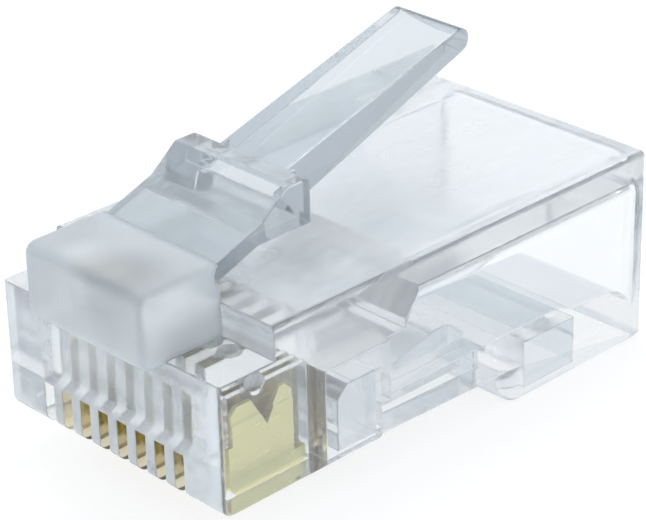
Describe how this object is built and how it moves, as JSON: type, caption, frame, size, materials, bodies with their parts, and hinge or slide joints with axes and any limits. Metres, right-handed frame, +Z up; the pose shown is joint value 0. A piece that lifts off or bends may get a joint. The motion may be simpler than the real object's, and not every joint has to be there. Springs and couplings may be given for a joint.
{
  "type": "modular plug",
  "caption": "Clear modular network plug with a press-down latch, insulation-piercing contacts, wire channels and crimp bars that grip the wires and the cable jacket.",
  "frame": {"origin": "middle of the plug's footprint, on the surface that the rear block's base stands on", "axes": "+Y from the nose to the cable end, +Z up with the latch on top and the contacts below, +X across"},
  "size_m": [0.0116, 0.0234, 0.0138],
  "materials": {
    "clear_housing": "glossy clear polycarbonate with a faint blue-grey tint",
    "clear_latch": "glossy clear polycarbonate",
    "clear_bars": "glossy clear polycarbonate",
    "contact_gold": "gold flash over copper alloy, satin"
  },
  "bodies": {
    "housing_body": {"housing": "clear_housing"},
    "latch_lever": {"latch": "clear_latch"},
    "contact_set": {"contact_1": "contact_gold", "contact_2": "contact_gold", "contact_3": "contact_gold", "contact_4": "contact_gold", "contact_5": "contact_gold", "contact_6": "contact_gold", "contact_7": "contact_gold", "contact_8": "contact_gold"},
    "wire_bar": {"wire_clamp_bar": "clear_bars"},
    "jacket_bar": {"jacket_clamp_bar": "clear_bars"}
  },
  "joints": [
    {"name": "latch_bend", "type": "hinge", "parent": "housing_body", "child": "latch_lever", "pos_m": [0, -0.00802, 0.00918], "axis": [1, 0, 0], "range_deg": [-16, 0], "stiffness_Nm_per_rad": 0.1},
    {"name": "contacts_press", "type": "slide", "parent": "housing_body", "child": "contact_set", "axis": [0, 0, 1], "range_m": [0, 0.0006]},
    {"name": "wire_bar_press", "type": "slide", "parent": "housing_body", "child": "wire_bar", "axis": [0, 0, 1], "range_m": [0, 0.0009]},
    {"name": "jacket_bar_swing", "type": "hinge", "parent": "housing_body", "child": "jacket_bar", "pos_m": [0, -0.0016, 0.00224], "axis": [1, 0, 0], "range_deg": [0, 18]}
  ]
}
